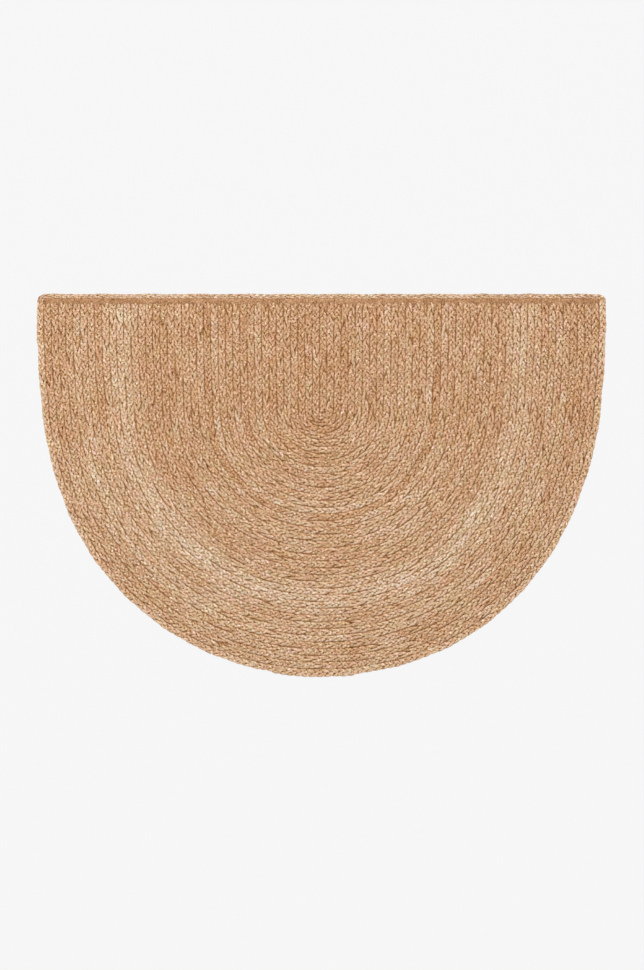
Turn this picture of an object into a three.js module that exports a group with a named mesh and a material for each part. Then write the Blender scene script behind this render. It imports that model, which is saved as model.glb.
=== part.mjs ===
// Half-moon doormat of plaited jute, lying flat. Millimetres, +Z up, straight edge towards +Y.
// The field is one flat piece of plait rows, sewn side by side: a straight middle row, and rows that run
// down one side, round the bend and up the other. A border plait goes round the outline, and a band of
// close sewing covers the row ends along the straight edge. The underside is flat and lies at z = 0.
import * as THREE from 'three';

// Driving sizes
const DEPTH = 606; // straight edge to the bottom of the bend
const ROWS = 38; // rows on each side of the middle row
const PITCH = 10.667; // from one row to the next
const THICK = 8; // a plait's thickness
const GROOVE = 1.8; // how deep the seam lies between two rows
const PRESSED = 5.4; // thickness of the row ends under the sewn band
const GAP = 0.3; // between pieces that touch on the real mat
const EDGE_WIDTH = 7.5; // border plait along the straight edge, where it is turned on its side
const CORNER = 11; // radius of the two corners
const BAND_WIDTH = 9.7; // sewn band
const BAND_THICK = 1.9;
const RAMP = 6; // where the row ends rise from pressed to full thickness
const LEAN = 2.7; // how far the middle row lies to the right of the mat's middle

// Places worked out from them
const TOP = DEPTH / 2;
const FIELD_OFFSET = (ROWS + 0.5) * PITCH - GAP / 2; // middle line to the field's outer side
const BORDER_OFFSET = (ROWS + 0.5) * PITCH + GAP / 2; // middle line to the border's inner side
const OUTER_OFFSET = (ROWS + 1.5) * PITCH; // middle line to the mat's outline
const BEND_Y = -TOP + OUTER_OFFSET; // the rows' bends are centred on x = 0 here
const EDGE_Y = TOP - EDGE_WIDTH; // border's inner side along the straight edge
const CUT_Y = EDGE_Y - GAP; // where the rows are cut off

// The mat widens towards its straight edge: a width there is multiplied by 1 + FLARE_LOW + FLARE_RISE
const FLARE_LOW = 0.0205;
const FLARE_RISE = 0.045;
const FLARE_FROM = -40;
const FLARE_TO = 255;

// The outline isn't a true round. Angles run from the right arm (0) through the bottom (90) to the left.
const SWELLS = [
  { angle: 57, spread: 14, reach: 1.6 },
  { angle: 91, spread: 16, reach: -2.2 },
  { angle: 156, spread: 18, reach: 2.4 },
];
const LAP = { from: -71, to: 41, ramp: 14, reach: 2.2 }; // where the border's two ends lie over each other

// Steps of the mesh
const BEND_STEPS = 24;
const ARM_STEPS = 4;
const EDGE_STEPS = 18;
const BAND_STEPS = 44;

function smooth(from, to, value) {
  const t = Math.min(1, Math.max(0, (value - from) / (to - from)));
  return t * t * (3 - 2 * t);
}

function flare(y) {
  return 1 + FLARE_LOW + FLARE_RISE * smooth(FLARE_FROM, FLARE_TO, y);
}

// A row's distance from the middle line grows or shrinks with the uneven outline
function unevenness(angle) {
  let reach = 0;
  for (const swell of SWELLS) {
    reach += swell.reach * Math.exp(-(((angle - swell.angle) / swell.spread) ** 2));
  }
  return 1 + reach / OUTER_OFFSET;
}

// A station is a place along every row: on an arm at a height y, or on the bend at an angle
function armStation(side, y) {
  return { side, y, angle: side > 0 ? 0 : 180 };
}

function bendStation(angle) {
  return { side: 0, y: 0, angle };
}

function rowPoint(offset, station) {
  const reach = offset * unevenness(station.angle);
  const lean = LEAN * (1 - offset / OUTER_OFFSET);
  if (station.side) {
    return [lean + station.side * reach * flare(station.y), station.y];
  }
  const turn = THREE.MathUtils.degToRad(station.angle);
  const y = BEND_Y - reach * Math.sin(turn);
  return [lean + reach * Math.cos(turn) * flare(y), y];
}

// Stations from the right arm's cut end, down, round the bend and up to the left arm's cut end
function rowStations() {
  const heights = [CUT_Y, CUT_Y - BAND_WIDTH, CUT_Y - BAND_WIDTH - RAMP];
  const lowest = heights[heights.length - 1];
  for (let i = 1; i < ARM_STEPS; i++) {
    heights.push(THREE.MathUtils.lerp(lowest, BEND_Y, i / ARM_STEPS));
  }
  const right = heights.map((y) => armStation(1, y));
  const bend = [];
  for (let i = 0; i <= BEND_STEPS; i++) {
    bend.push(bendStation((180 * i) / BEND_STEPS));
  }
  const left = heights.map((y) => armStation(-1, y)).reverse();
  return [...right, ...bend, ...left];
}

// Triangles of one closed solid, gathered as points
class Skin {
  constructor() {
    this.points = [];
  }

  triangle(a, b, c) {
    this.points.push(...a, ...b, ...c);
  }

  quad(a, b, c, d) {
    this.triangle(a, b, c);
    this.triangle(a, c, d);
  }

  mesh(name, color, roughness) {
    const geometry = new THREE.BufferGeometry();
    geometry.setAttribute('position', new THREE.Float32BufferAttribute(this.points, 3));
    geometry.computeVertexNormals();
    const finish = new THREE.MeshStandardMaterial({ color, roughness, metalness: 0 });
    const mesh = new THREE.Mesh(geometry, finish);
    mesh.name = name;
    return mesh;
  }
}

function dropTo(point, z) {
  return [point[0], point[1], z];
}

// Rings across the rows, from the middle row's shoulder to the field's outer side
function fieldRings() {
  const shoulder = 0.3;
  const rings = [{ offset: shoulder * PITCH, z: THICK }];
  for (let row = 1; row <= ROWS; row++) {
    rings.push({ offset: (row - 0.5) * PITCH, z: THICK - GROOVE });
    rings.push({ offset: (row - shoulder) * PITCH, z: THICK });
    rings.push({ offset: (row + shoulder) * PITCH, z: THICK });
  }
  rings.push({ offset: FIELD_OFFSET, z: THICK - GROOVE });
  return rings;
}

// Underside between the straight cut line and the bend, both listed from right to left
function fillUnderside(skin, cut, bend) {
  let a = 1;
  let b = 1;
  skin.triangle(cut[0], bend[1], cut[1]);
  while (a < cut.length - 2 || b < bend.length - 2) {
    const cutNext = a < cut.length - 2 ? cut[a + 1][0] : -Infinity;
    const bendNext = b < bend.length - 2 ? bend[b + 1][0] : -Infinity;
    if (cutNext > bendNext) {
      skin.triangle(cut[a], bend[b], cut[a + 1]);
      a += 1;
    } else {
      skin.triangle(cut[a], bend[b], bend[b + 1]);
      b += 1;
    }
  }
  skin.triangle(cut[a], bend[b], cut[a + 1]);
}

function plaitedField() {
  const stations = rowStations();
  const last = stations.length - 1;
  const rings = fieldRings().map((ring) =>
    stations.map((station, i) => {
      const pressed = i < 2 || i > last - 2;
      return [...rowPoint(ring.offset, station), pressed ? PRESSED : ring.z];
    })
  );
  const skin = new Skin();

  // Top: ribs and seams
  for (let r = 0; r + 1 < rings.length; r++) {
    for (let i = 0; i < last; i++) {
      skin.quad(rings[r][i], rings[r][i + 1], rings[r + 1][i + 1], rings[r + 1][i]);
    }
  }

  // Top of the middle row, across from the right arm to the left
  const core = rings[0];
  for (let i = 0; i + 1 < last / 2; i++) {
    skin.quad(core[i], core[last - i], core[last - i - 1], core[i + 1]);
  }
  const foot = last / 2;
  skin.triangle(core[foot - 1], core[foot + 1], core[foot]);

  // Outer side
  const rim = rings[rings.length - 1];
  for (let i = 0; i < last; i++) {
    skin.quad(rim[i], rim[i + 1], dropTo(rim[i + 1], 0), dropTo(rim[i], 0));
  }

  // Cut ends of the rows, right to left
  const ends = [...rings.map((ring) => ring[0]).reverse(), ...rings.map((ring) => ring[last])];
  for (let i = 0; i + 1 < ends.length; i++) {
    skin.quad(ends[i], dropTo(ends[i], 0), dropTo(ends[i + 1], 0), ends[i + 1]);
  }

  fillUnderside(skin, ends.map((end) => dropTo(end, 0)), rim.map((point) => dropTo(point, 0)));
  return skin.mesh('plaited_field', 0xc49d7b, 0.9);
}

// Sections of a bar, each a ring of points that turns left as seen along the bar from its start
function joinSections(skin, sections, closed) {
  const count = sections.length;
  const spans = closed ? count : count - 1;
  for (let s = 0; s < spans; s++) {
    const here = sections[s];
    const next = sections[(s + 1) % count];
    for (let k = 0; k < here.length; k++) {
      const after = (k + 1) % here.length;
      skin.quad(here[k], here[after], next[after], next[k]);
    }
  }
  if (!closed) {
    const first = sections[0];
    const end = sections[count - 1];
    for (let k = 1; k + 1 < first.length; k++) {
      skin.triangle(first[0], first[k + 1], first[k]);
      skin.triangle(end[0], end[k], end[k + 1]);
    }
  }
}

// The border's section: how far across from its inner side to its outer side, and how high
const BORDER_SECTION = [
  { across: 0.88, z: 0 },
  { across: 1, z: 0.25 * THICK },
  { across: 1, z: 0.7 * THICK },
  { across: 0.75, z: THICK },
  { across: 0.25, z: THICK },
  { across: 0, z: 0.7 * THICK },
  { across: 0, z: 0.25 * THICK },
  { across: 0.12, z: 0 },
];

function borderSection(inner, outer) {
  return BORDER_SECTION.map(({ across, z }) => [
    THREE.MathUtils.lerp(inner[0], outer[0], across),
    THREE.MathUtils.lerp(inner[1], outer[1], across),
    z,
  ]);
}

function lapReach(x) {
  return LAP.reach * smooth(LAP.from - LAP.ramp, LAP.from, x) * (1 - smooth(LAP.to, LAP.to + LAP.ramp, x));
}

// Sections round one corner, from the arm to the straight edge
function cornerSections(side) {
  const inner = rowPoint(BORDER_OFFSET, armStation(side, EDGE_Y));
  const outerX = rowPoint(OUTER_OFFSET, armStation(side, EDGE_Y))[0];
  const centre = [outerX - side * CORNER, TOP - CORNER];
  const innerSteps = [
    { back: 0, down: CORNER },
    { back: 0, down: CORNER / 2 },
    { back: 0, down: 0 },
    { back: CORNER / 2, down: 0 },
    { back: CORNER, down: 0 },
  ];
  return innerSteps.map(({ back, down }, i) => {
    const turn = (Math.PI / 2) * (i / (innerSteps.length - 1));
    const outer = [centre[0] + side * CORNER * Math.cos(turn), centre[1] + CORNER * Math.sin(turn)];
    const innerY = inner[1] - down;
    const innerX = rowPoint(BORDER_OFFSET, armStation(side, innerY))[0];
    return borderSection([innerX - side * back, innerY], outer);
  });
}

function borderPlait() {
  // Down the right arm, round the bend and up the left arm, without the two cut ends
  const along = rowStations().slice(2, -2).map((station) => {
    const inner = rowPoint(BORDER_OFFSET, station);
    const [x] = rowPoint(OUTER_OFFSET, station);
    const onBend = !station.side && Math.abs(station.angle - 90) < 30;
    const outer = rowPoint(OUTER_OFFSET + (onBend ? lapReach(x) : 0), station);
    return borderSection(inner, outer);
  });

  // Along the straight edge from left to right, between the corners
  const reach = rowPoint(BORDER_OFFSET, armStation(1, EDGE_Y))[0] - 2 * CORNER;
  const edge = [];
  for (let i = 0; i <= EDGE_STEPS; i++) {
    const x = THREE.MathUtils.lerp(-reach, reach, i / EDGE_STEPS);
    edge.push(borderSection([x, EDGE_Y], [x, TOP]));
  }

  const skin = new Skin();
  const loop = [...along, ...cornerSections(-1), ...edge, ...cornerSections(1).reverse()];
  joinSections(skin, loop, true);
  return skin.mesh('border_plait', 0xc6a17e, 0.9);
}

// The band's lower side is a little ragged, as the sewing catches longer and shorter row ends
function sewnBand() {
  const base = PRESSED + GAP;
  const reach = rowPoint(FIELD_OFFSET, armStation(1, CUT_Y))[0] - 1;
  const sections = [];
  for (let i = 0; i <= BAND_STEPS; i++) {
    const x = THREE.MathUtils.lerp(-reach, reach, i / BAND_STEPS);
    const ragged = 0.5 * Math.sin(2.3 * i) + 0.4 * Math.sin(5.1 * i + 1);
    const low = CUT_Y - BAND_WIDTH + 1 + ragged;
    const crown = base + BAND_THICK + 0.12 * Math.sin(3.7 * i);
    sections.push([
      [x, CUT_Y, base],
      [x, CUT_Y, base + BAND_THICK / 2],
      [x, CUT_Y - BAND_WIDTH / 4, crown],
      [x, low + BAND_WIDTH / 4, crown],
      [x, low, base + BAND_THICK / 2],
      [x, low, base],
    ]);
  }
  const skin = new Skin();
  joinSections(skin, sections, false);
  return skin.mesh('sewn_band', 0xb78965, 0.8);
}

const group = new THREE.Group();
group.add(plaitedField(), borderPlait(), sewnBand());

export default group;
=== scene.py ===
# A half-moon doormat of plaited jute, seen from straight above.
import math
import bpy
import numpy as np
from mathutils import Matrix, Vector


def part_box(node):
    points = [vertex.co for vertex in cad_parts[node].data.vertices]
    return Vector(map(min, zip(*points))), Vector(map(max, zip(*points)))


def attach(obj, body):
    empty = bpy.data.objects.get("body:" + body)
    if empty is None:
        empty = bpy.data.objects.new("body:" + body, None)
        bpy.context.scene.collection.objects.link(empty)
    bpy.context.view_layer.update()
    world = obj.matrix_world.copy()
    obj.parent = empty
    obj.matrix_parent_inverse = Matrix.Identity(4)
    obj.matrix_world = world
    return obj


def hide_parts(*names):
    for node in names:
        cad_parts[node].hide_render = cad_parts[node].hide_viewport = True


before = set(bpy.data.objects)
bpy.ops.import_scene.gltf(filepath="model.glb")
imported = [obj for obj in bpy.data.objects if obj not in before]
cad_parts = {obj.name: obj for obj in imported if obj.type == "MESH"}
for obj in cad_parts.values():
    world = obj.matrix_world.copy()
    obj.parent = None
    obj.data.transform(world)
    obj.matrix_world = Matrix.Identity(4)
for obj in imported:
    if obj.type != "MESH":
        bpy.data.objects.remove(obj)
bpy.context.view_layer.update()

MM = 0.001
field_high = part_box("plaited_field")[1]
border_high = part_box("border_plait")[1]
band_low, band_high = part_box("sewn_band")

# The mat's layout, as the solids have it
ROWS = 38
PITCH = 10.667 * MM
LEAN = 2.7 * MM
CORNER_BEND = 13 * MM
OUTER = (ROWS + 1.5) * PITCH
TOP = border_high.y
BEND_Y = -TOP + OUTER
CUT_Y = field_high.y
EDGE_LINE_Y = TOP - (TOP - CUT_Y) / 2 - 1.5 * MM
MIDDLE_Z = field_high.z / 2

# The rows spread sideways, and more so towards the straight edge
FLARE_LOW = 0.0205
FLARE_RISE = 0.045
FLARE_FROM = -40 * MM
FLARE_TO = 255 * MM

# The outline is uneven round the bend
SWELLS = (
    # angle, spread, reach
    (57, 14, 1.6 * MM),
    (91, 16, -2.2 * MM),
    (156, 18, 2.4 * MM),
)

# The border is thicker at the bottom of the bend, where its ends lap
LAP_FROM = -71 * MM
LAP_TO = 41 * MM
LAP_RAMP = 14 * MM
LAP_REACH = 2.2 * MM

# One plait: three flat strands that pass from the middle out to an edge, fold under there and come back
LAY = 36.5 * MM
UNEVEN_TURNS = 0.17
UNEVEN_BORDER_TURNS = 0.08
STRAND_SIDES = 10
STRAND_THICK = 3.5 * MM
REACH = 3.97 * MM
LIFT = 2.3 * MM
NARROW_SPAN = 9.5 * MM
BROAD_SPAN = 13.8 * MM
STRAND_GIRTH = 18 * MM

# How long a strand keeps its height before it dips, and the same along the straight edge
HOLD = 3.6
EDGE_HOLD = 2.0

# Where a strand has points in each sixth of a turn, as parts of a turn
ROW_STOPS = (20 / 360, 40 / 360)
BORDER_STOPS = (0, 15 / 360, 30 / 360, 45 / 360)
LONGEST_STEP = LAY / 9

# Metres of plait in one piece, which keeps it under 200,000 triangles
PIECE_LENGTH = 9.9

rng = np.random.default_rng(11)


# Node maths written as expressions

class Wire:
    """A socket that can be used in sums."""

    def __init__(self, graph, socket):
        self.graph = graph
        self.socket = socket

    def math(self, operation, *others, swap=False):
        values = [self, *others]
        if swap:
            values.reverse()
        return self.graph.add("ShaderNodeMath", {"operation": operation}, dict(enumerate(values)))

    def __add__(self, other):
        return self.math("ADD", other)

    __radd__ = __add__

    def __mul__(self, other):
        return self.math("MULTIPLY", other)

    __rmul__ = __mul__

    def __sub__(self, other):
        return self.math("SUBTRACT", other)

    def __rsub__(self, other):
        return self.math("SUBTRACT", other, swap=True)

    def __truediv__(self, other):
        return self.math("DIVIDE", other)

    def __rtruediv__(self, other):
        return self.math("DIVIDE", other, swap=True)

    def __pow__(self, other):
        return self.math("POWER", other)


class Graph:
    """Adds nodes to one tree."""

    def __init__(self, tree):
        self.tree = tree

    def add(self, kind, settings=None, inputs=None, output=0):
        node = self.tree.nodes.new(kind)
        for name, value in (settings or {}).items():
            if name == "stops":
                self.set_stops(node.color_ramp, value)
            else:
                setattr(node, name, value)
        for name, value in (inputs or {}).items():
            self.feed(node.inputs[name], value)
        return Wire(self, node.outputs[output])

    def feed(self, socket, value):
        if isinstance(value, Wire):
            self.tree.links.new(value.socket, socket)
        else:
            socket.default_value = value

    def output(self, wire, name):
        return Wire(self, wire.socket.node.outputs[name])

    def set_stops(self, ramp, stops):
        while len(ramp.elements) > 1:
            ramp.elements.remove(ramp.elements[-1])
        ramp.elements[0].position = stops[0][0]
        ramp.elements[0].color = stops[0][1]
        for place, colour in stops[1:]:
            ramp.elements.new(place).color = colour

    def between(self, value, low, high):
        """0 where the value is low and 1 where it is high, with a smooth rise from one to the other."""
        settings = {"interpolation_type": "SMOOTHSTEP"}
        return self.add("ShaderNodeMapRange", settings, {0: value, 1: low, 2: high, 3: 0.0, 4: 1.0})

    def noise(self, vector, scale, detail=2.0, roughness=0.55):
        inputs = {"Vector": vector, "Scale": scale, "Detail": detail, "Roughness": roughness}
        return self.add("ShaderNodeTexNoise", None, inputs)

    def vector(self, x, y, z):
        return self.add("ShaderNodeCombineXYZ", None, {0: x, 1: y, 2: z})

    def stretch(self, vector, scale):
        return self.add("ShaderNodeVectorMath", {"operation": "SCALE"}, {0: vector, "Scale": scale})

    def sum(self, first, second):
        return self.add("ShaderNodeVectorMath", {"operation": "ADD"}, {0: first, 1: second})


def paint(red, green, blue):
    """A colour as seen on a screen, 0 to 255, as Blender's linear one."""
    def linear(value):
        value = value / 255
        return value / 12.92 if value <= 0.04045 else ((value + 0.055) / 1.055) ** 2.4
    return (linear(red), linear(green), linear(blue), 1.0)


# Layout of the rows

def smooth(low, high, value):
    t = np.clip((value - low) / (high - low), 0, 1)
    return t * t * (3 - 2 * t)


def flare(y):
    return 1 + FLARE_LOW + FLARE_RISE * smooth(FLARE_FROM, FLARE_TO, y)


def unevenness(angle):
    reach = sum(amount * np.exp(-((angle - at) / spread) ** 2) for at, spread, amount in SWELLS)
    return 1 + reach / OUTER


def arm_points(offset, side, y):
    x = side * offset * unevenness(0 if side > 0 else 180) * flare(y)
    lean = LEAN * (1 - offset / OUTER)
    return np.column_stack([x + lean, y])


def bend_points(offset, angle):
    reach = offset * unevenness(angle)
    y = BEND_Y - reach * np.sin(np.radians(angle))
    lean = LEAN * (1 - offset / OUTER)
    return np.column_stack([reach * np.cos(np.radians(angle)) * flare(y) + lean, y])


def row_outline(offset, start_y):
    """Down the right arm, round the bend and up the left arm, in fine steps."""
    down = np.linspace(start_y, BEND_Y, 60)
    turn = np.linspace(0, 180, 181)[1:-1]
    right = arm_points(offset, 1, down)
    left = arm_points(offset, -1, down[::-1])
    return np.vstack([right, bend_points(offset, turn), left])


def plait_steps(points, stops=ROW_STOPS, uneven_turns=UNEVEN_TURNS):
    """The same line with points where a strand needs them, and the turns of the plait at each.
    Every strand then has points on both sides of its crossing and of its fold at the edge."""
    lengths = np.hypot(*np.diff(points, axis=0).T)
    travelled = np.concatenate([[0], np.cumsum(lengths)])
    lay = LAY * (1 + rng.normal(0, 0.035))
    fine = np.linspace(0, travelled[-1], 400)
    turns_at = rng.uniform(0, 1) + fine / lay + slow_wave(fine, 140 * MM, uneven_turns)
    first, last = turns_at[0], turns_at[-1]
    sixths = np.arange(math.floor(first * 6), math.ceil(last * 6) + 1) / 6
    turns = np.concatenate([sixths + stop for stop in stops])
    from_ends = 0.01
    turns = np.sort(turns[(turns > first + from_ends) & (turns < last - from_ends)])
    along = np.concatenate([[0], np.interp(turns, turns_at, fine), [travelled[-1]]])
    turns = np.concatenate([[first], turns, [last]])
    stretch = np.interp(along, fine, 1 / np.gradient(turns_at, fine)) / LAY
    line = np.column_stack([np.interp(along, travelled, points[:, k]) for k in (0, 1)])
    return line, along, turns, stretch


def slow_wave(along, length, amount):
    """A gentle random wander, different each time it is asked for."""
    wave = np.zeros_like(along)
    for part in (1.0, 0.53, 0.31):
        wave += part * np.sin(along / (length * part) * 2 * np.pi + rng.uniform(0, 2 * np.pi))
    return wave * amount / 1.2


def outward_of(line, along):
    tangent = np.gradient(line, along, axis=0)
    tangent /= np.linalg.norm(tangent, axis=1)[:, None]
    return np.column_stack([-tangent[:, 1], tangent[:, 0]])


# How much paler or darker the rows run, as pairs of a row, counted out from the middle one, and a tone.
# They were set against how pale each row is in the photo.
LEFT_ROW_TONES = (
    (0, -0.04), (3, -0.033), (6, -0.015), (9, -0.02), (11, -0.055), (14, -0.02), (18, -0.03),
    (20, 0.015), (22, -0.08), (23.5, -0.065), (25.5, 0.022), (29.5, 0.008), (31, 0.03),
    (34, 0.0), (36, -0.01), (38, -0.06))
RIGHT_ROW_TONES = (
    (0, -0.03), (2, -0.06), (5, -0.015), (9, -0.015), (12, -0.015), (15.5, -0.02), (18, 0.0), (20, 0.02),
    (23, -0.08), (26, 0.018), (29, -0.005), (31, 0.025), (34, -0.03), (36, -0.04), (38, -0.055))


def row_tone(row, x):
    """How pale a row is on its left arm, on its right arm, and in between round the bend."""
    left = np.interp(row, *zip(*LEFT_ROW_TONES))
    right = np.interp(row, *zip(*RIGHT_ROW_TONES))
    return left + (right - left) * smooth(-120 * MM, 160 * MM, x)


class Path:
    """The middle line of one plait, with what the plait does along it.

    pale is how bleached it is, with some painted shade and light in it, press how far it is pressed
    flat, roll how far it is tilted, broad its width, hold how long a strand keeps its height before it
    dips, and lift how far it rises."""

    def __init__(self, line, along, turns, stretch, row):
        count = len(line)
        self.line = line
        self.outward = outward_of(line, along)
        self.turn = turns
        self.stretch = stretch
        steps = np.hypot(*np.diff(line, axis=0).T)
        self.along = np.concatenate([[0], np.cumsum(steps)])
        self.height = np.full(count, MIDDLE_Z)
        self.row = np.full(count, float(row))
        self.pale = slow_wave(self.along, 150 * MM, 0.02)

        # A few stretches are paler
        self.pale += 0.035 * smooth(0.55, 1.0, slow_wave(self.along, 240 * MM, 0.8)) - 0.007
        self.press = np.zeros(count)
        self.roll = np.zeros(count)
        self.broad = np.ones(count)
        self.hold = np.full(count, HOLD)
        self.lift = np.ones(count)


def field_path(row):
    end_y = CUT_Y - 1.0 * MM
    if row == 0:
        line = np.array([[LEAN, y] for y in np.linspace(end_y, BEND_Y - 4 * MM, 40)])
    else:
        line = row_outline(row * PITCH, end_y)
    line, along, turns, stretch = plait_steps(line)
    uneven = slow_wave(along, 110 * MM, 0.52 * MM)
    path = Path(line + outward_of(line, along) * uneven[:, None], along, turns, stretch, row)
    y = path.line[:, 1]
    path.press = smooth(band_low.y - 1 * MM, band_low.y + 5 * MM, y)
    path.height = MIDDLE_Z + slow_wave(along, 90 * MM, 0.2 * MM) - 1.0 * MM * path.press
    path.broad = np.where(y > BEND_Y, flare(y), 1 + (flare(y) - 1) * np.abs(path.outward[:, 0]))
    path.broad *= 1 + slow_wave(along, 80 * MM, 0.02)
    path.pale += row_tone(row, path.line[:, 0]) + rng.normal(0, 0.025)

    # The rows are painted a little darker towards the straight edge and paler round the bend: painted
    # shade and light that even out how the lamp falls across the grooves
    path.pale += 0.018 - 0.038 * smooth(-40 * MM, 130 * MM, y)
    return path


# Geometry Nodes: a three-strand plait laid along every path

class Making(Graph):
    """A Geometry Nodes tree with named sizes. It takes one shape and a material, and gives one shape."""

    def __init__(self, name, takes, gives, **sizes):
        tree = bpy.data.node_groups.new(name, "GeometryNodeTree")
        tree.interface.new_socket(name=takes, in_out="INPUT", socket_type="NodeSocketGeometry")
        for label, value in sizes.items():
            kind = "NodeSocketInt" if isinstance(value, int) else "NodeSocketFloat"
            socket = tree.interface.new_socket(name=spaced(label), in_out="INPUT", socket_type=kind)
            socket.default_value = value
        tree.interface.new_socket(name="Material", in_out="INPUT", socket_type="NodeSocketMaterial")
        tree.interface.new_socket(name=gives, in_out="OUTPUT", socket_type="NodeSocketGeometry")
        super().__init__(tree)
        self.given = self.add("NodeGroupInput")

    def size(self, name):
        return self.output(self.given, name)

    def carried(self, name, kind="FLOAT"):
        return self.add("GeometryNodeInputNamedAttribute", {"data_type": kind}, {"Name": name})

    def finish(self, body):
        body = self.add("GeometryNodeSetShadeSmooth", None, {"Geometry": body})
        body = self.add("GeometryNodeRealizeInstances", None, {"Geometry": body})
        inputs = {"Geometry": body, "Material": self.size("Material")}
        body = self.add("GeometryNodeSetMaterial", None, inputs)
        out = self.tree.nodes.new("NodeGroupOutput")
        self.tree.links.new(body.socket, out.inputs[0])
        return self.tree


def spaced(label):
    return label.replace("_", " ").capitalize()


def plait_tree():
    g = Making(
        "three_strand_plait", "Paths", "Plait", reach=REACH, lift=LIFT, narrow_span=NARROW_SPAN,
        broad_span=BROAD_SPAN, thickness=STRAND_THICK, sides=STRAND_SIDES, wander=0.35 * MM, seed=3.0)
    size = g.size
    carried = g.carried

    def store(geometry, name, value, domain="POINT"):
        settings = {"data_type": "FLOAT", "domain": domain}
        inputs = {"Geometry": geometry, "Name": name, "Value": value}
        return g.add("GeometryNodeStoreNamedAttribute", settings, inputs)

    # Three strands follow each path, a third of a lay apart
    paths = g.add("GeometryNodeMeshToCurve", None, {"Mesh": size("Paths")})
    numbered = store(paths, "number", g.add("GeometryNodeInputIndex"), "CURVE")
    inputs = {"Geometry": numbered, "Amount": 3}
    tripled = g.add("GeometryNodeDuplicateElements", {"domain": "SPLINE"}, inputs)
    strand = g.output(tripled, "Duplicate Index")
    strands = store(tripled, "strand", carried("row") * 3.0 + strand)
    strands = store(strands, "turns", carried("turn") + strand / 3.0)

    ring = g.add("GeometryNodeCurvePrimitiveCircle", None, {"Resolution": size("Sides"), "Radius": MM})
    ring = store(ring, "around", g.add("GeometryNodeInputIndex") / size("Sides"))
    inputs = {"Curve": strands, "Profile Curve": ring, "Fill Caps": True}
    body = g.add("GeometryNodeCurveToMesh", None, inputs)

    # A strand's way across the plait, and up and down in it. With straight near 1 it zigzags, and
    # with straight near 0 it swings like a wave.
    angle = carried("turns") * math.tau
    sine = angle.math("SINE")
    straight = 0.93
    across = (sine * straight).math("ARCSINE") / math.asin(straight)
    hold = carried("hold")
    rise = ((angle * 2.0).math("SINE") * hold).math("TANH") / hold.math("TANH")

    # Hand-made unevenness, the same on every run
    spot = g.vector(carried("along") / (13 * MM), carried("strand") * 3.7, size("Seed"))
    uneven = g.add("ShaderNodeSeparateXYZ", None, {0: g.output(g.noise(spot, 1.0, 1.0), "Color")})
    shift_x = (uneven - 0.5) * size("Wander") * 3.0
    shift_z = (g.output(uneven, "Y") - 0.5) * size("Wander") * 1.6
    girth = 0.86 + g.output(uneven, "Z") * 0.28

    # The flat section lies along the plait, so that the strand slants over it and folds at the edge.
    # It is an oval with full corners: 2 gives a plain oval, and more gives fuller corners.
    corners = 3.0
    ring_angle = carried("around") * math.tau
    flat_cos = ring_angle.math("COSINE")
    flat_sin = ring_angle.math("SINE")
    corner = flat_cos.math("ABSOLUTE") ** corners + flat_sin.math("ABSOLUTE") ** corners
    fullness = corner ** (-1 / corners)
    flat_cos = flat_cos * fullness
    flat_sin = flat_sin * fullness
    span = size("Narrow span") + (size("Broad span") - size("Narrow span")) * sine.math("ABSOLUTE")
    press = carried("press")
    lengthwise = flat_cos * span * 0.5 * carried("stretch") * (0.5 + girth * 0.5)
    thick = flat_sin * size("Thickness") * 0.5 * girth * (1.0 - press * 0.45)
    scallop = 1.0 - flat_cos * flat_cos * 0.14
    thick_x = (angle * 2.0).math("COSINE") * thick * -0.9
    thick_z = rise * sine.math("SIGN") * thick
    x = (across * size("Reach") * scallop + shift_x + thick_x) * carried("broad")
    z = rise * size("Lift") * carried("lift") * (1.0 - press * 0.5) + shift_z + thick_z

    # Each point is set against the row where its own part of the section lies
    def row_at(kind, name=None):
        settings = {"mode": "LENGTH", "data_type": kind, "use_all_curves": False}
        there = carried("along") + lengthwise
        inputs = {"Curves": numbered, "Length": there, "Curve Index": carried("number")}
        if name:
            inputs["Value"] = carried(name, kind)
        return g.add("GeometryNodeSampleCurve", settings, inputs)

    middle = g.output(row_at("FLOAT"), "Position")
    outward = row_at("FLOAT_VECTOR", "outward")
    roll = row_at("FLOAT", "roll")
    up = g.vector(0.0, 0.0, 1.0)
    sideways = g.sum(g.stretch(outward, roll.math("COSINE")), g.stretch(up, roll.math("SINE")))
    upwards = g.sum(g.stretch(up, roll.math("COSINE")), g.stretch(outward, 0.0 - roll.math("SINE")))
    place = g.sum(middle, g.sum(g.stretch(sideways, x), g.stretch(upwards, z)))

    # The underside is flat where it lies on the floor
    place = g.add("ShaderNodeSeparateXYZ", None, {0: place})
    place = g.vector(place, g.output(place, "Y"), g.output(place, "Z").math("MAXIMUM", 0.1 * MM))
    return g.finish(g.add("GeometryNodeSetPosition", None, {"Geometry": body, "Position": place}))


def path_mesh(name, paths):
    """All paths as one mesh of edges, with their values on its points."""
    points = np.vstack([np.column_stack([p.line, p.height]) for p in paths])
    edges = []
    start = 0
    for path in paths:
        count = len(path.line)
        ids = np.arange(start, start + count)
        edges.append(np.column_stack([ids[:-1], ids[1:]]))
        start += count
    mesh = bpy.data.meshes.new(name)
    mesh.from_pydata(points.tolist(), np.vstack(edges).tolist(), [])
    for key in ("along", "turn", "stretch", "row", "pale", "press", "roll", "broad", "hold", "lift"):
        values = np.concatenate([getattr(p, key) for p in paths]).astype(np.float32)
        mesh.attributes.new(key, "FLOAT", "POINT").data.foreach_set("value", values)
    outward = np.vstack([np.column_stack([p.outward, np.zeros(len(p.line))]) for p in paths])
    mesh.attributes.new("outward", "FLOAT_VECTOR", "POINT").data.foreach_set(
        "vector", outward.astype(np.float32).ravel())
    return mesh


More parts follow.
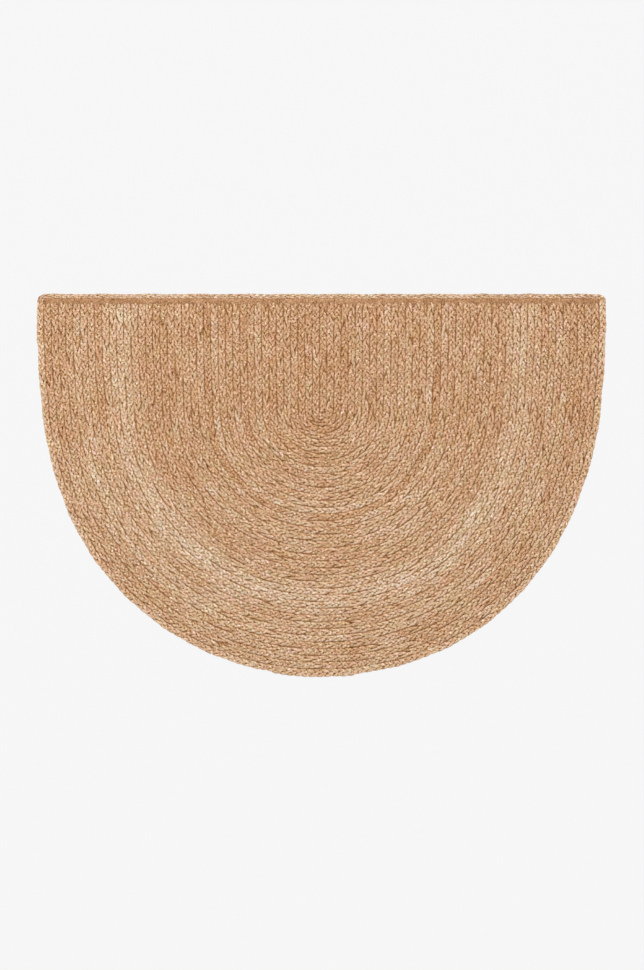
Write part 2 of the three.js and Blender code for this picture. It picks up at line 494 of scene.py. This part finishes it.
def run_tree(name, mesh, tree, values):
    """Evaluates a Geometry Nodes tree on a mesh and returns a plain mesh object."""
    source = bpy.data.objects.new(name + "_paths", mesh)
    bpy.context.scene.collection.objects.link(source)
    modifier = source.modifiers.new("tree", "NODES")
    modifier.node_group = tree
    for socket in tree.interface.items_tree:
        if socket.item_type == "SOCKET" and socket.in_out == "INPUT" and socket.name in values:
            modifier[socket.identifier] = values[socket.name]
    depsgraph = bpy.context.evaluated_depsgraph_get()
    made = bpy.data.meshes.new_from_object(
        source.evaluated_get(depsgraph), preserve_all_data_layers=True, depsgraph=depsgraph)
    made.name = name
    bpy.data.objects.remove(source)
    piece = bpy.data.objects.new(name, made)
    bpy.context.scene.collection.objects.link(piece)
    return piece


def read(mesh, key):
    values = np.zeros(len(mesh.vertices), np.float32)
    mesh.attributes[key].data.foreach_get("value", values)
    return values


def unroll(piece):
    """Lays each strand out flat: a metric map for its fibres, and a packed one for baking."""
    mesh = piece.data
    corners = np.zeros(len(mesh.loops), np.int32)
    mesh.loops.foreach_get("vertex_index", corners)
    starts = np.zeros(len(mesh.polygons), np.int32)
    totals = np.zeros(len(mesh.polygons), np.int32)
    mesh.polygons.foreach_get("loop_start", starts)
    mesh.polygons.foreach_get("loop_total", totals)
    face = np.repeat(np.arange(len(starts)), totals)
    along = read(mesh, "along")[corners].astype(float)
    around = read(mesh, "around")[corners].astype(float)
    strand = read(mesh, "strand")[corners]

    # A face that closes the ring has its low corners moved up by one turn
    highest = np.maximum.reduceat(around, starts)[face]
    around = np.where((highest - around > 0.5) & (totals[face] == 4), around + 1, around)
    metric = mesh.uv_layers.new(name="lay")
    lay = np.column_stack([around * STRAND_GIRTH, along])
    metric.data.foreach_set("uv", lay.astype(np.float32).ravel())

    # Strips of strand side by side in one square
    ids, which = np.unique(strand, return_inverse=True)
    lengths = np.array([along[which == k].max() for k in range(len(ids))])
    before = np.concatenate([[0], np.cumsum(lengths)[:-1]])
    width = STRAND_GIRTH * 1.12
    side = math.sqrt(lengths.sum() * width) + width
    first = np.minimum.reduceat(along, starts)[face]
    usable = side - 3 * LONGEST_STEP
    column = np.floor((before[which] + first) / usable)
    v = before[which] + along - column * usable + LONGEST_STEP
    u = (column + around) * width
    packed = mesh.uv_layers.new(name="OFBake")
    reach = max(u.max(), v.max()) * 1.002
    packed.data.foreach_set("uv", np.column_stack([u / reach, v / reach]).astype(np.float32).ravel())
    mesh.uv_layers.active = mesh.uv_layers["lay"]


def plait_piece(name, paths, tree, material):
    piece = run_tree(name, path_mesh(name + "_paths", paths), tree, {"Material": material})
    unroll(piece)
    return piece


# Finishes

class Finish(Graph):
    """One material, with the wires that most finishes here start from."""

    def __init__(self, name):
        self.material = bpy.data.materials.new(name)
        self.material.use_nodes = True
        self.material.node_tree.nodes.clear()
        super().__init__(self.material.node_tree)

    def place(self):
        return self.parts(self.add("ShaderNodeTexCoord", None, None, output="Object"))

    def parts(self, vector):
        split = self.add("ShaderNodeSeparateXYZ", None, {0: vector})
        return split, self.output(split, "Y"), self.output(split, "Z")

    def carried(self, name):
        return self.add("ShaderNodeAttribute", {"attribute_name": name}, output="Fac")

    def ramp(self, stops, value):
        return self.add("ShaderNodeValToRGB", {"stops": stops}, {0: value})

    def tint(self, colour, red, green, blue):
        """Colour times a tint that wires or numbers give."""
        tint = self.vector(red, green, blue)
        return self.add("ShaderNodeVectorMath", {"operation": "MULTIPLY"}, {0: colour, 1: tint})

    def finish(self, shader):
        out = self.tree.nodes.new("ShaderNodeOutputMaterial")
        self.tree.links.new(shader.socket, out.inputs["Surface"])
        return self.material


# Jute from its darkest, where painted shade deepens the crevices, to its palest fibres
JUTE_TONES = (
    (0.0, paint(102, 56, 9)),
    (0.2, paint(149, 104, 58)),
    (0.4, paint(179, 138, 99)),
    (0.6, paint(206, 171, 138)),
    (0.8, paint(231, 204, 178)),
    (1.0, paint(251, 239, 218)),
)
JUTE_MIDDLE = 0.624
YARN_WIDTH = 1.5 * MM
YARN_TWIST = 26 * MM


def jute(name):
    """Strands of jute: yarns and fibres along each strand, with patches of other fibre."""
    g = Finish(name)
    around, along, _ = g.parts(g.add("ShaderNodeUVMap", {"uv_map": "lay"}))
    strand = g.carried("strand")
    x, y, z = g.place()

    # Loosely twisted yarns make up a strand, and fibres make up the yarns
    twist = around / YARN_WIDTH + along / YARN_TWIST
    yarns = g.noise(g.vector(twist, along / (4 * MM), strand * 3.1), 1.0, 1.0, 0.5)
    streaks = g.noise(g.vector(twist * 1.3, along / (2.2 * MM), strand * 7.7), 1.0, 1.0, 0.5)
    fibres = g.noise(g.vector(twist * 5.0, along / (9 * MM), strand * 5.3), 1.0, 2.0, 0.6)
    patches = g.noise(g.vector(along / (11 * MM), strand * 11.3, 0.5), 1.0, 1.0, 0.5)
    # Pale streaks are partly paler fibres and partly a painted highlight along the raised streaks; the
    # dark between the yarns is painted shade in the grooves there.
    pale_fibre_and_highlight = g.between(streaks, 0.56, 0.72)
    yarn_gap_shade = g.between(yarns, 0.40, 0.28)

    # Painted shade: a strand's rounded sides darken into a crease where the next one lies over it, more
    # in some spots than others, and darken where they come out from under the other strands. Small dark
    # holes, painted shadow, lie where strands cross, some at the plait's edge, and a thin line of
    # painted shade runs along the fold at the plait's edge.
    side = (around * (math.tau / STRAND_GIRTH)).math("COSINE").math("ABSOLUTE")
    crease_shade = g.between(side, 0.68, 0.84)
    out = (g.carried("turns") * math.tau).math("SINE").math("ABSOLUTE")
    under = g.between(out, 0.5, 0.16)
    edge = g.between(out, 0.95, 0.995)
    grain = g.noise(g.vector(x, y, z), 390.0, 1.0, 0.5)
    hole = g.between(side, 0.5, 0.75) * g.between(out, 0.62, 0.42)
    spots = g.between(g.noise(g.vector(x, y, 7.0), 250.0, 1.0, 0.5), 0.42, 0.54)
    hole_shade = spots * (hole + edge * 0.2 + 0.1)
    # The worn noise only makes the painted crease shade patchy.
    worn = g.between(g.noise(g.vector(x, y, 4.0), 170.0, 1.0, 0.5), 0.38, 0.62)
    strand_shade = side * side * 0.04 + crease_shade * (worn * 0.28 + 0.05) + under * 0.04
    shade = strand_shade + hole_shade * 1.05 + edge * 0.13

    cloud = g.noise(g.vector(x, y, 2.0), 12.0, 3.0, 0.5)
    cloud_red = g.noise(g.vector(x, y, 5.0), 30.0, 2.0, 0.6)
    cloud_grey = g.noise(g.vector(x, y, 8.0), 26.0, 2.0, 0.6)
    reddish = g.noise(g.vector(along / (7 * MM), strand * 5.9, 4.5), 1.0, 1.0, 0.6)
    greyish = g.noise(g.vector(along / (7 * MM), strand * 3.3, 9.5), 1.0, 1.0, 0.6)

    # Bleached fibre is paler and greyer, raw fibre darker and redder. The paleness also carries painted
    # shade and light, darker towards the straight edge.
    bleach_and_shade = g.carried("pale") + (cloud - 0.5) * 0.12 + (patches - 0.5) * 0.2
    # Painted shade: the strands are darker near the middle height, deep in the grooves between rows.
    outside = g.between((z - MIDDLE_Z).math("ABSOLUTE"), 0.6 * MM, 2.9 * MM)
    tone = JUTE_MIDDLE + bleach_and_shade - (1.0 - outside) * 0.08 - shade + (grain - 0.5) * 0.95
    tone = tone + pale_fibre_and_highlight * 0.1 - yarn_gap_shade * 0.22 + (streaks - 0.5) * 0.35 + (fibres - 0.5) * 0.55
    colour = g.ramp(JUTE_TONES, tone)
    # The painted shade along the plait's edge is also tinted redder and less grey.
    red = (reddish - 0.5) * 0.24 + (cloud_red - 0.5) * 0.1 - bleach_and_shade * 0.4 + edge * 0.05
    grey = (greyish - 0.5) * 0.42 + (cloud_grey - 0.5) * 0.2 + bleach_and_shade * 0.45 - edge * 0.12
    colour = g.tint(colour, 1.0 + red, 0.99 - red * 0.25, 0.98 + red * 0.2 + grey)

    relief = yarns * 0.5 + streaks * 0.5 + fibres * 0.35
    bump = g.add("ShaderNodeBump", None, {"Strength": 0.6, "Distance": 0.8 * MM, "Height": relief})
    return g.finish(g.add("ShaderNodeBsdfPrincipled", None, {
        "Base Color": colour, "Roughness": 0.8, "Normal": bump, "Specular IOR Level": 0.2,
        "Sheen Weight": 0.1, "Sheen Roughness": 0.5}))


def packed_jute_and_shade():
    """Fibre deep between the plaits, darker than the strands: partly its own colour and partly painted
    shade.
    """
    g = Finish("packed_fibre")
    x, y, _ = g.place()
    grain = g.noise(g.vector(x, y, 0.0), 330.0, 1.0, 0.5)
    colour = g.ramp((
        (0.35, paint(108, 62, 26)), (0.5, paint(156, 112, 73)), (0.7, paint(190, 148, 109))), grain)
    bump = g.add("ShaderNodeBump", None, {"Strength": 0.5, "Distance": 0.5 * MM, "Height": grain})
    return g.finish(g.add("ShaderNodeBsdfPrincipled", None, {
        "Base Color": colour, "Roughness": 0.9, "Normal": bump, "Specular IOR Level": 0.15}))


def sewing_thread():
    """Ochre thread, worn in with the fibre under it."""
    g = Finish("ochre_thread")
    x, y, z = g.place()
    mottled = g.noise(g.vector(x, y, 0.0), 420.0, 2.0, 0.6)
    broad = g.noise(g.vector(x, y, 3.0), 60.0, 3.0, 0.6)
    fine = g.noise(g.vector(x, y * 0.25, z), 1500.0, 2.0, 0.6)
    tone = 0.5 + (mottled - 0.5) * 2.2 + (broad - 0.5) * 0.9 + (fine - 0.5) * 0.5
    colour = g.ramp((
        (0.0, paint(118, 73, 36)), (0.35, paint(163, 118, 79)),
        (0.65, paint(184, 140, 101)), (1.0, paint(222, 183, 146))), tone)
    bump = g.add("ShaderNodeBump", None, {"Strength": 0.4, "Distance": 0.3 * MM, "Height": fine})
    return g.finish(g.add("ShaderNodeBsdfPrincipled", None, {
        "Base Color": colour, "Roughness": 0.75, "Normal": bump, "Specular IOR Level": 0.25,
        "Sheen Weight": 0.1}))


# Pieces

def split_rows(limit):
    """Rows shared out so that no group holds more than a given length of plait.
    The middle row, which runs down once, counts as a narrow loop."""
    groups = [[]]
    length = 0
    for row in range(ROWS + 1):
        own = row_outline(max(row, 0.05) * PITCH, CUT_Y)
        own = np.hypot(*np.diff(own, axis=0).T).sum()
        if length + own > limit:
            groups.append([])
            length = 0
        groups[-1].append(row)
        length += own
    return groups


tree = plait_tree()
jute_plait = jute("jute_plait")
for number, rows in enumerate(split_rows(PIECE_LENGTH)):
    paths = [field_path(row) for row in rows]
    piece = plait_piece(f"plait_rows_{number + 1}", paths, tree, jute_plait)
    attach(piece, "root")
    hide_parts("plaited_field")


def swell(line):
    """Where the border's two ends lap at the bottom of the bend it is thicker, by 0 to 1."""
    x, y = line.T
    lap = smooth(LAP_FROM - LAP_RAMP, LAP_FROM, x) * (1 - smooth(LAP_TO, LAP_TO + LAP_RAMP, x))
    return np.where(y < BEND_Y, lap, 0)


def border_line():
    """The border plait's middle line, all round the mat from the lap and back past its start."""
    half = PITCH / 2
    corner_y = TOP - CORNER_BEND
    fine = row_outline(OUTER - half, corner_y)
    fine[:, 1] -= swell(fine) * LAP_REACH / 2
    right_x = fine[0, 0]
    left_x = fine[-1, 0]
    radius = CORNER_BEND - half
    turn = np.radians(np.linspace(0, 90, 12)[1:-1])
    rise = (EDGE_LINE_Y - corner_y) * np.sin(turn)
    right = np.column_stack([right_x - radius + radius * np.cos(turn), corner_y + rise])
    left = np.column_stack([left_x + radius - radius * np.cos(turn), corner_y + rise])
    edge_x = np.linspace(left_x + radius, right_x - radius, 80)
    edge = np.column_stack([edge_x, np.full(80, EDGE_LINE_Y)])
    whole = np.vstack([fine, left, edge, right[::-1]])
    start = np.argmin(np.hypot(whole[:, 0] - LAP_FROM / 4, whole[:, 1] + TOP))
    points_past = 5
    return np.vstack([whole[start:], whole[:start + points_past]])


def border_path():
    line, along, turns, stretch = plait_steps(border_line(), BORDER_STOPS, UNEVEN_BORDER_TURNS)
    uneven = slow_wave(along, 75 * MM, 0.5 * MM)
    line = line + outward_of(line, along) * uneven[:, None]
    path = Path(line, along, turns, stretch, ROWS + 1)
    on_edge = smooth(TOP - CORNER_BEND, EDGE_LINE_Y, line[:, 1])
    path.pale += 0.01 + 0.03 * on_edge
    path.roll = on_edge * math.radians(14)
    path.broad = 1 - 0.38 * on_edge + 0.2 * swell(line)
    path.hold = HOLD - (HOLD - EDGE_HOLD) * on_edge
    path.lift = 1 - 0.4 * on_edge
    path.height = MIDDLE_Z + 1.2 * MM * on_edge + slow_wave(along, 200 * MM, 0.15 * MM)

    # Both ends are tucked under each other
    path.press = 1 - smooth(0, 16 * MM, np.minimum(along, along[-1] - along))
    path.height -= 2.4 * MM * path.press
    return path


border = plait_piece("border_strands", [border_path()], tree, jute("jute_border"))
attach(border, "root")
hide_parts("border_plait")


def plain_piece(name, points, faces, material):
    mesh = bpy.data.meshes.new(name)
    mesh.from_pydata(points, [], faces)
    mesh.materials.append(material)
    mesh.update()
    piece = bpy.data.objects.new(name, mesh)
    bpy.context.scene.collection.objects.link(piece)
    return piece


def packed_fibre():
    """The fibre that fills the mat between and under the strands, seen only deep in the grooves, in a
    darker colour that is partly painted shade.
    """
    low_z = 2.3 * MM
    high_z = 6.15 * MM
    outline = row_outline((ROWS + 1.1) * PITCH, TOP - CORNER_BEND)
    inset = 7 * MM
    top_y = TOP - 5 * MM
    top = [[outline[-1, 0] + inset, top_y], [outline[0, 0] - inset, top_y]]
    outline = np.vstack([outline[:-1:3], outline[-1:], top])
    count = len(outline)
    points = [(x, y, z) for z in (low_z, high_z) for x, y in outline]
    faces = [tuple(range(count)), tuple(range(2 * count - 1, count - 1, -1))]
    for k in range(count):
        n = (k + 1) % count
        faces.append((n, k, k + count, n + count))
    piece = plain_piece("packed_fibre", points, faces, packed_jute_and_shade())
    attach(piece, "root")
    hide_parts("plaited_field", "border_plait")
    return piece


def sewing_tree():
    """Stitches side by side on a line of points: each arches over the band and slants a little."""
    g = Making(
        "close_sewing", "Points", "Sewing", stitch_length=9.3 * MM, thread_radius=0.72 * MM,
        arch=1.5 * MM, slant=1.1 * MM)
    size = g.size

    line = g.add("GeometryNodeCurvePrimitiveLine", None, {"Start": (0, 0, 0), "End": (0, -1, 0)})
    line = g.add("GeometryNodeResampleCurve", None, {"Curve": line, "Count": 7})
    way = g.add("GeometryNodeSplineParameter")
    arch = (way * math.pi).math("SINE") ** 0.45
    slant = (way - 0.5) * size("Slant")
    place = g.vector(slant, 0.0 - way * size("Stitch length"), (arch - 1.0) * size("Arch"))
    line = g.add("GeometryNodeSetPosition", None, {"Geometry": line, "Position": place})
    inputs = {"Resolution": 5, "Radius": size("Thread radius")}
    ring = g.add("GeometryNodeCurvePrimitiveCircle", None, inputs)
    inputs = {"Curve": line, "Profile Curve": ring, "Fill Caps": True}
    stitch = g.add("GeometryNodeCurveToMesh", None, inputs)
    points = g.add("GeometryNodeMeshToPoints", None, {"Mesh": size("Points")})
    stretch = g.vector(g.carried("lean"), g.carried("reach"), 1.0)
    inputs = {"Points": points, "Instance": stitch, "Scale": stretch}
    return g.finish(g.add("GeometryNodeInstanceOnPoints", None, inputs))


def band_stitches():
    """Two layers of stitches that slant opposite ways, packed close over the pressed row ends."""
    pitch = 1.2 * MM
    margin = 0.8 * MM
    first_z = 7.1 * MM
    layer_height = 0.25 * MM
    count = round((band_high.x - band_low.x - 2 * margin) / pitch)
    x = band_low.x + margin + pitch * np.arange(count)
    points = []
    lean = []
    reach = []
    for layer, side in enumerate((1, -1)):
        wander = slow_wave(x, 60 * MM, 0.35 * MM)
        y = band_high.y - margin + wander * 0.4 + rng.normal(0, 0.12 * MM, count)
        z = first_z + layer * layer_height + slow_wave(x, 45 * MM, 0.15 * MM)
        points.append(np.column_stack([x + layer * pitch / 2 + rng.normal(0, 0.1 * MM, count), y, z]))
        lean.append(side * (1 + rng.normal(0, 0.25, count)))
        groove = (x - LEAN) / (PITCH * flare(CUT_Y)) + 0.5
        ragged = 0.16 * np.cos(groove * 2 * math.pi) + slow_wave(x, 23 * MM, 0.07)
        reach.append(1.02 + ragged + rng.normal(0, 0.07, count))
    mesh = bpy.data.meshes.new("band_points")
    mesh.from_pydata(np.vstack(points).tolist(), [], [])
    for key, values in (("lean", lean), ("reach", reach)):
        values = np.concatenate(values).astype(np.float32)
        mesh.attributes.new(key, "FLOAT", "POINT").data.foreach_set("value", values)
    piece = run_tree("band_stitches", mesh, sewing_tree(), {"Material": sewing_thread()})
    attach(piece, "root")
    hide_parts("sewn_band")
    return piece


fibre = packed_fibre()
stitches = band_stitches()


# Light, floor and camera

def floor():
    """One pale tone all over, so it mostly glows and hardly takes a shadow."""
    mesh = bpy.data.meshes.new("floor")
    reach = 25.0
    mesh.from_pydata([(-reach, -reach, 0), (reach, -reach, 0), (reach, reach, 0), (-reach, reach, 0)],
                     [], [(0, 1, 2, 3)])
    sheet = bpy.data.objects.new("floor", mesh)
    bpy.context.scene.collection.objects.link(sheet)
    material = bpy.data.materials.new("pale_floor")
    material.use_nodes = True
    material.node_tree.nodes.clear()
    g = Graph(material.node_tree)
    lit = g.add("ShaderNodeBsdfDiffuse", None, {"Color": (0.9, 0.9, 0.9, 1)})
    glow = g.add("ShaderNodeEmission", None, {"Color": paint(246, 246, 246), "Strength": 1.0})
    glow_share = 0.985
    both = g.add("ShaderNodeMixShader", None, {0: glow_share, 1: lit, 2: glow})
    out = material.node_tree.nodes.new("ShaderNodeOutputMaterial")
    material.node_tree.links.new(both.socket, out.inputs["Surface"])
    mesh.materials.append(material)


def lights():
    """Soft light from all round, and a large lamp high up beyond the straight edge."""
    world = bpy.data.worlds.new("soft_room")
    bpy.context.scene.world = world
    world.use_nodes = True
    world.node_tree.nodes["Background"].inputs["Color"].default_value = (1.0, 1.0, 1.0, 1.0)
    world.node_tree.nodes["Background"].inputs["Strength"].default_value = 0.85
    lamp = bpy.data.lights.new("overhead", "AREA")
    lamp.shape = "SQUARE"
    lamp.size = 2.2
    lamp.energy = 50
    top = bpy.data.objects.new("overhead", lamp)
    top.location = (-0.5, 1.6, 2.6)
    top.rotation_euler = (math.radians(-31), math.radians(-11), 0)
    bpy.context.scene.collection.objects.link(top)


def camera():
    """Straight above, with the photo's framing."""
    frame_height = 1531.6 * MM
    distance = 4.4
    lens = bpy.data.cameras.new("above")
    lens.sensor_width = 36
    lens.lens = 36 * distance / frame_height
    lens.clip_end = 50
    eye = bpy.data.objects.new("above", lens)
    eye.location = (0.8 * MM, -0.2 * MM, distance)
    bpy.context.scene.collection.objects.link(eye)
    bpy.context.scene.camera = eye


floor()
lights()
camera()
view = bpy.context.scene.view_settings
view.view_transform = "Standard"
view.look = "None"
